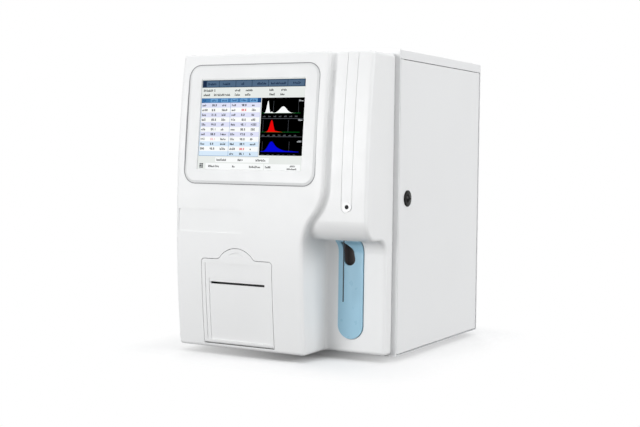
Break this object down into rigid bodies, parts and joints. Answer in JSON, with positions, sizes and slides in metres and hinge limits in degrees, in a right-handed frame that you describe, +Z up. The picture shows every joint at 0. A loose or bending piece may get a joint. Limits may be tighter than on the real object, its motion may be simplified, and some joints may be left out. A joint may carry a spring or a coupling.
{
  "type": "veterinary hematology analyzer",
  "caption": "Bench-top blood cell counter with a bowed moulded front, touch screen, printer door, open sample bay with a lifting probe, and a locking side door.",
  "frame": {"origin": "middle of the footprint, at the underside of the feet", "axes": "+X to the viewer's right, +Y from the front into the machine, +Z up"},
  "size_m": [0.322, 0.4144, 0.436],
  "materials": {
    "cover_plastic": "fine satin moulded",
    "bezel_plastic": "satin moulded",
    "screen_glass": "polished touch panel",
    "screen_case": "satin",
    "circuit_board": "solder mask",
    "ring_plastic": "polished white moulded",
    "indicator_glass": "polished smoked lens",
    "key_plastic": "satin light blue",
    "lock_black": "polished black",
    "black_plastic": "satin black",
    "grey_plastic": "satin grey",
    "well_plastic": "matt dark grey",
    "thermal_paper": "smooth",
    "roller_rubber": "ground rubber",
    "foot_rubber": "moulded rubber",
    "painted_sheet": "powder coated",
    "zinc_sheet": "zinc plated sheet",
    "steel": "ground stainless steel",
    "plated_screw": "zinc plated",
    "aluminium_plate": "anodised",
    "white_acetal": "machined acetal",
    "clear_plastic": "clear acrylic",
    "brass": "turned",
    "supply_case": "folded case"
  },
  "bodies": {
    "housing": {"front_cover": "cover_plastic", "bezel": "bezel_plastic", "display_glass": "screen_glass", "display_module": "screen_case", "display_board": "circuit_board", "indicator_ring": "ring_plastic", "indicator_lens": "indicator_glass", "key_bracket": "white_acetal", "key_switch": "black_plastic", "probe_well": "well_plastic", "door_pins": "steel", "printer_bucket": "black_plastic", "paper_spindle": "grey_plastic", "print_head": "aluminium_plate", "motor_bracket": "zinc_sheet", "printer_motor": "steel", "probe_frame": "aluminium_plate", "guide_rods": "steel", "probe_motor": "black_plastic", "rinse_block": "clear_plastic", "front_frame": "painted_sheet", "base_tray": "zinc_sheet", "left_panel": "painted_sheet", "top_cover": "painted_sheet", "mid_wall": "zinc_sheet", "rubber_feet": "foot_rubber", "hinge_pins": "steel", "rear_panel": "painted_sheet", "fan_frame": "black_plastic", "power_inlet": "black_plastic", "rocker_switch": "black_plastic", "data_ports": "zinc_sheet", "spigots": "white_acetal", "earth_stud": "brass", "main_board": "circuit_board", "power_supply": "supply_case", "valve_block": "clear_plastic", "solenoid_valves": "grey_plastic", "syringe_unit": "aluminium_plate", "syringe_barrels": "clear_plastic", "bath_bracket": "grey_plastic", "baths": "clear_plastic", "waste_chamber": "white_acetal", "pumps": "grey_plastic", "pan_screws": "plated_screw"},
    "printer_flap": {"printer_door": "cover_plastic"},
    "service_door": {"side_door": "painted_sheet", "lock_body": "lock_black"},
    "door_latch": {"lock_plug": "lock_black"},
    "aspirate_button": {"aspirate_key": "key_plastic"},
    "probe_lift_arm": {"probe_carrier": "white_acetal", "probe": "steel"},
    "probe_screw": {"lead_screw": "steel"},
    "fan_wheel": {"fan_rotor": "black_plastic"},
    "platen": {"platen_roller": "roller_rubber"},
    "pinion": {"motor_gear": "white_acetal"},
    "paper": {"paper_roll": "thermal_paper"},
    "power_key": {"power_rocker": "black_plastic"},
    "plungers": {"syringe_plungers": "white_acetal"}
  },
  "joints": [
    {"name": "printer_door_hinge", "type": "hinge", "parent": "housing", "child": "printer_flap", "pos_m": [-0.0485, -0.19079, 0.0198], "axis": [1, 0, 0], "range_deg": [0, 85]},
    {"name": "service_door_hinge", "type": "hinge", "parent": "housing", "child": "service_door", "pos_m": [0.155, 0.18855, 0.216], "axis": [0, 0, 1], "range_deg": [0, 100]},
    {"name": "door_lock", "type": "hinge", "parent": "service_door", "child": "door_latch", "pos_m": [0.156, -0.08365, 0.2278], "axis": [1, 0, 0], "range_deg": [0, 90]},
    {"name": "aspirate_press", "type": "hinge", "parent": "housing", "child": "aspirate_button", "pos_m": [0.0975, -0.12515, 0.158], "axis": [1, 0, 0], "range_deg": [0, 0.7], "stiffness_Nm_per_rad": 10, "springref_deg": -0.29},
    {"name": "probe_lift", "type": "slide", "parent": "housing", "child": "probe_lift_arm", "axis": [0, 0, 1], "range_m": [0, 0.086]},
    {"name": "probe_screw_turn", "type": "hinge", "parent": "housing", "child": "probe_screw", "pos_m": [0.097, -0.13315, 0.29], "axis": [0, 0, 1], "range_deg": [0, 3871]},
    {"name": "fan_spin", "type": "hinge", "parent": "housing", "child": "fan_wheel", "pos_m": [-0.1, 0.18, 0.338], "axis": [0, 1, 0], "continuous": true},
    {"name": "platen_spin", "type": "hinge", "parent": "housing", "child": "platen", "pos_m": [-0.0485, -0.18215, 0.102], "axis": [1, 0, 0], "continuous": true},
    {"name": "pinion_spin", "type": "hinge", "parent": "housing", "child": "pinion", "pos_m": [-0.105, -0.16835, 0.102], "axis": [1, 0, 0], "continuous": true},
    {"name": "paper_spin", "type": "hinge", "parent": "housing", "child": "paper", "pos_m": [-0.0485, -0.15115, 0.064], "axis": [1, 0, 0], "continuous": true},
    {"name": "power_switch", "type": "hinge", "parent": "housing", "child": "power_key", "pos_m": [-0.078, 0.19385, 0.044], "axis": [1, 0, 0], "range_deg": [0, 20]},
    {"name": "syringe_stroke", "type": "slide", "parent": "housing", "child": "plungers", "axis": [0, 0, 1], "range_m": [0, 0.04]}
  ],
  "couplings": [
    {"joint": "probe_screw_turn", "follows": "probe_lift", "rad_per_m": 785.4},
    {"joint": "pinion_spin", "follows": "platen_spin", "ratio": -2}
  ]
}
